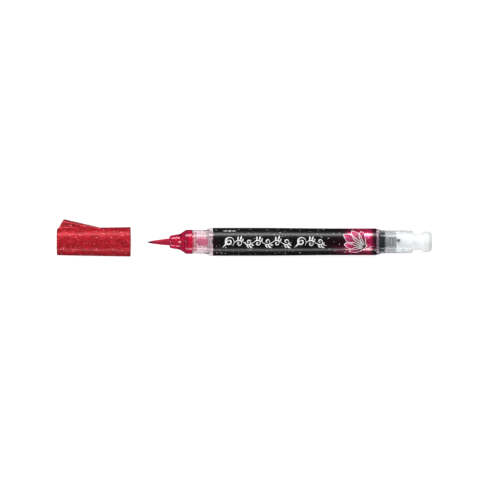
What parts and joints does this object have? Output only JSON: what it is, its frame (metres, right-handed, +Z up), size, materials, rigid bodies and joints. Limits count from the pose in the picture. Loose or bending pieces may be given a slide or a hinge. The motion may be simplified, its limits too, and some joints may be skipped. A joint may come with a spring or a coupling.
{
  "type": "calligraphy marker",
  "caption": "Brush-tipped calligraphy marker with a translucent nozzle, a printed barrel, a spring-loaded push button and a glittery pull-off cap with a fin.",
  "frame": {"origin": "on the pen's axis, at the front edge of the printed film", "axes": "+X along the pen towards the push button, +Y the side of the cap's fin, +Z up from the surface the pen lies on, the printed side"},
  "size_m": [0.1855, 0.0185, 0.0146],
  "materials": {
    "cap_red": "glossy metallic red with fine glitter",
    "liner_natural": "natural translucent",
    "bristle_red": "fine nylon filaments",
    "nozzle_crimson": "glossy translucent",
    "section_clear": "clear, glossy",
    "feed_pink": "ink-stained",
    "barrel_clear": "clear, glossy",
    "film_printed": "gloss black print with specks, an ornament and a magenta glow at the back",
    "sleeve_frosted": "frosted translucent",
    "dark_plastic": "satin",
    "spring_steel": "drawn wire",
    "tank_natural": "natural translucent",
    "seal_rubber": "matte",
    "seal_silicone": "translucent silicone, ink-stained",
    "button_white": "satin white",
    "ball_steel": "polished"
  },
  "bodies": {
    "barrel": {"barrel_tube": "barrel_clear", "barrel_film": "film_printed", "front_section": "section_clear", "brush_nozzle": "nozzle_crimson", "nozzle_o_ring": "seal_silicone", "bristle_bundle": "bristle_red", "bristle_root": "bristle_red", "root_retainer": "nozzle_crimson", "feed_core": "feed_pink", "feed_tube": "feed_pink", "tail_sleeve": "sleeve_frosted", "guide_bush": "dark_plastic", "return_spring": "spring_steel"},
    "tank": {"ink_tank": "tank_natural", "tank_plug": "dark_plastic", "tank_o_ring": "seal_rubber", "valve_seat": "tank_natural", "spring_cage": "tank_natural", "valve_spring": "spring_steel", "button_stem": "button_white", "button_head": "button_white"},
    "valve": {"valve_poppet": "dark_plastic", "poppet_seal": "seal_rubber"},
    "agitator": {"agitator_ball": "ball_steel"},
    "cap": {"cap_shell": "cap_red", "cap_liner": "liner_natural"}
  },
  "joints": [
    {"name": "cap_slide", "type": "slide", "parent": "barrel", "child": "cap", "axis": [1, 0, 0], "range_m": [0, 0.03885]},
    {"name": "button_press", "type": "slide", "parent": "barrel", "child": "tank", "axis": [-1, 0, 0], "range_m": [0, 0.0025], "stiffness_N_per_m": 600, "springref_m": -0.005, "deforming": ["return_spring"]},
    {"name": "valve_open", "type": "slide", "parent": "tank", "child": "valve", "axis": [1, 0, 0], "range_m": [0, 0.0025], "deforming": ["valve_spring"]},
    {"name": "ball_roll", "type": "slide", "parent": "tank", "child": "agitator", "axis": [1, 0, 0], "range_m": [-0.0235, 0.03]}
  ],
  "couplings": [
    {"joint": "valve_open", "follows": "button_press", "ratio": 1}
  ]
}
